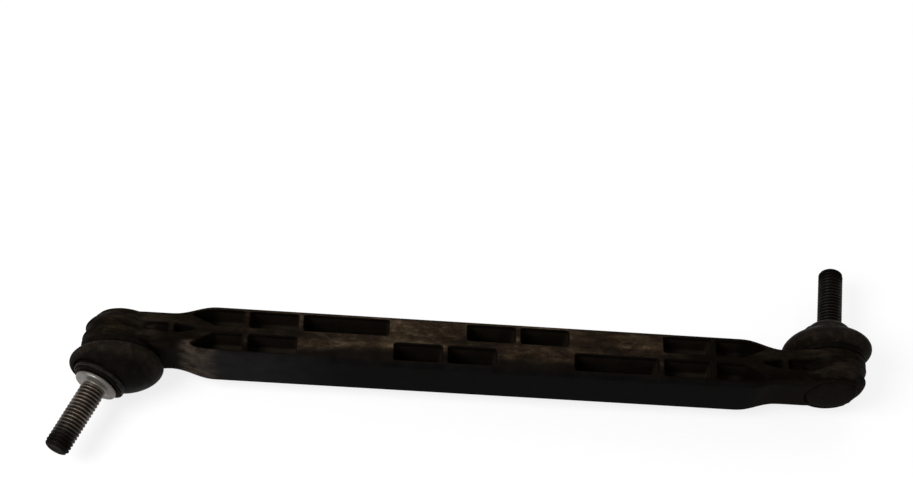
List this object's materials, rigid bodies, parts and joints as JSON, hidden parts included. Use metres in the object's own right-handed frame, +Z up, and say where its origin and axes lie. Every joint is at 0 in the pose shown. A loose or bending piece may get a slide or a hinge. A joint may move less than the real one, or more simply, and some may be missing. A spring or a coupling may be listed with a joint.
{
  "type": "stabilizer link",
  "caption": "Moulded plastic anti-roll-bar drop link: a cored bar with a sealed ball joint at each end, whose threaded studs point to opposite sides.",
  "frame": {"origin": "midway between the two ball centres, which is also the middle of the moulded bar", "axes": "+X runs along the bar towards the right joint, +Y is the way the right stud points, +Z is up as the link lies on its boots"},
  "size_m": [0.3234, 0.1032, 0.0361],
  "materials": {
    "body": "satin moulded glass-filled plastic, dusty",
    "seat": "smooth low-friction plastic",
    "cap": "satin moulded",
    "boot": "matt, dusty",
    "stud": "worn and dirty, bright at the flange",
    "ring": "dull spring steel"
  },
  "bodies": {
    "link": {"link_body": "body", "left_ball_seat": "seat", "right_ball_seat": "seat", "left_end_cap": "cap", "right_end_cap": "cap", "left_boot_ring": "ring", "right_boot_ring": "ring"},
    "left_boot": {"left_boot": "boot"},
    "left_lip": {"left_lip_ring": "ring"},
    "left_stud": {"left_ball_stud": "stud"},
    "right_boot": {"right_boot": "boot"},
    "right_lip": {"right_lip_ring": "ring"},
    "right_stud": {"right_ball_stud": "stud"}
  },
  "joints": [
    {"name": "left_turn", "type": "hinge", "parent": "link", "child": "left_boot", "pos_m": [-0.141, -0.004, 0], "axis": [0, -1, 0], "continuous": true},
    {"name": "left_tilt", "type": "hinge", "parent": "left_boot", "child": "left_lip", "pos_m": [-0.141, -0.004, 0], "axis": [0.0872, 0, -0.9962], "range_deg": [-51, 5], "deforming": ["left_boot"]},
    {"name": "left_spin", "type": "hinge", "parent": "left_lip", "child": "left_stud", "pos_m": [-0.141, -0.004, 0], "axis": [-0.3892, -0.9205, -0.0341], "continuous": true},
    {"name": "right_turn", "type": "hinge", "parent": "link", "child": "right_boot", "pos_m": [0.141, 0.004, 0], "axis": [0, 1, 0], "continuous": true},
    {"name": "right_tilt", "type": "hinge", "parent": "right_boot", "child": "right_lip", "pos_m": [0.141, 0.004, 0], "axis": [-0.4226, 0, -0.9063], "range_deg": [-36, 20], "deforming": ["right_boot"]},
    {"name": "right_spin", "type": "hinge", "parent": "right_lip", "child": "right_stud", "pos_m": [0.141, 0.004, 0], "axis": [0.1261, 0.9903, -0.0588], "continuous": true}
  ]
}
